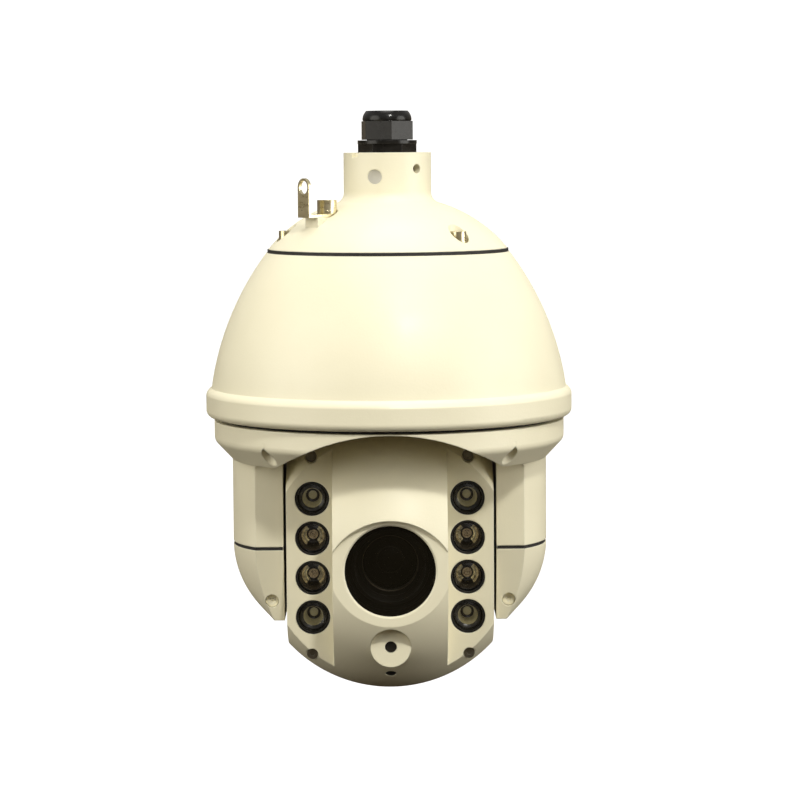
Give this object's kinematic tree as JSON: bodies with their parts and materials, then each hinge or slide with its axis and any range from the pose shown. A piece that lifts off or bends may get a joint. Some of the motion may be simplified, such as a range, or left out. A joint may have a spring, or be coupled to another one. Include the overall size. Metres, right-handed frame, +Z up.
{
  "type": "ptz dome camera",
  "caption": "Pendant pan-tilt-zoom dome camera with endless pan ring, two arms, tilting ball head and infrared lamps.",
  "frame": {"origin": "centre of the neck's top face, where the pendant bracket's collar ends", "axes": "+Z up along the pan axis, the lens looks along -Y, +X to the right of someone facing the lens"},
  "size_m": [0.239, 0.239, 0.3776],
  "materials": {
    "coat": "satin powder coat, light cream",
    "nylon": "satin black nylon",
    "rubber": "matte black",
    "stainless": "bright stainless",
    "plug": "grey plug",
    "alloy": "bare",
    "steel": "ground",
    "pulley": "turned",
    "dark_plastic": "matt black",
    "board": "solder mask",
    "glass": "dark coated glass",
    "reflector": "bright"
  },
  "bodies": {
    "housing": {"gland_body": "nylon", "gland_nut": "nylon", "gland_seal": "rubber", "gland_locknut": "nylon", "top_cap": "coat", "neck_plug": "plug", "cap_gasket": "rubber", "cap_screws": "stainless", "cap_screw_washers": "stainless", "safety_lug": "stainless", "safety_lug_washer": "stainless", "safety_lug_bolt": "stainless", "upper_housing": "coat", "base_plate": "alloy", "base_plate_screws": "stainless", "pan_bearing_outer": "steel", "pan_motor": "steel", "pan_belt": "rubber", "slip_ring_stator": "dark_plastic", "main_board": "board", "fan_frame": "dark_plastic", "heater": "alloy"},
    "pan": {"pan_bearing_inner": "steel", "pan_hub": "alloy", "pan_pulley": "pulley", "slip_ring_rotor": "dark_plastic", "pan_ring": "coat", "ring_screws": "stainless", "arm_housing_left": "coat", "arm_cover_left": "coat", "arm_plate_left": "alloy", "arm_housing_right": "coat", "arm_cover_right": "coat", "arm_plate_right": "alloy", "arm_gaskets": "rubber", "arm_cover_screws": "coat", "tilt_bearings": "steel", "tilt_motor": "steel", "tilt_belt": "rubber"},
    "head": {"tilt_hubs": "dark_plastic", "tilt_pulley": "pulley", "head_front_shell": "coat", "head_rear_shell": "coat", "head_gasket": "rubber", "head_screws": "stainless", "lens_window": "glass", "window_retainer": "dark_plastic", "light_sensor": "dark_plastic", "lamp_bezels": "dark_plastic", "lamp_lenses": "glass", "lamp_reflectors": "reflector", "camera_block": "dark_plastic", "lens_barrel": "dark_plastic", "front_lens": "glass"},
    "pan_pinion": {"pan_motor_pulley": "pulley"},
    "tilt_pinion": {"tilt_motor_pulley": "pulley"},
    "fan": {"fan_rotor": "dark_plastic"},
    "zoom": {"zoom_group": "dark_plastic"},
    "focus": {"focus_group": "dark_plastic"},
    "filter": {"ir_cut_filter": "glass"}
  },
  "joints": [
    {"name": "pan", "type": "hinge", "parent": "housing", "child": "pan", "pos_m": [0, 0, -0.155], "axis": [0, 0, 1], "continuous": true},
    {"name": "tilt", "type": "hinge", "parent": "pan", "child": "head", "pos_m": [0, 0, -0.2594], "axis": [1, 0, 0], "range_deg": [-5, 90]},
    {"name": "pan_motor_spin", "type": "hinge", "parent": "housing", "child": "pan_pinion", "pos_m": [0, 0.072, -0.137], "axis": [0, 0, 1], "continuous": true},
    {"name": "tilt_motor_spin", "type": "hinge", "parent": "pan", "child": "tilt_pinion", "pos_m": [-0.0795, 0, -0.2194], "axis": [1, 0, 0], "range_deg": [-20, 280]},
    {"name": "fan_spin", "type": "hinge", "parent": "housing", "child": "fan", "pos_m": [0, -0.072, -0.13], "axis": [0, -1, 0], "continuous": true},
    {"name": "zoom_travel", "type": "slide", "parent": "head", "child": "zoom", "axis": [0, -1, 0], "range_m": [-0.012, 0.006]},
    {"name": "focus_travel", "type": "slide", "parent": "head", "child": "focus", "axis": [0, -1, 0], "range_m": [-0.006, 0.006]},
    {"name": "filter_switch", "type": "slide", "parent": "head", "child": "filter", "axis": [1, 0, 0], "range_m": [0, 0.016]}
  ],
  "couplings": [
    {"joint": "pan_motor_spin", "follows": "pan", "ratio": 5},
    {"joint": "tilt_motor_spin", "follows": "tilt", "ratio": 3.0769}
  ]
}
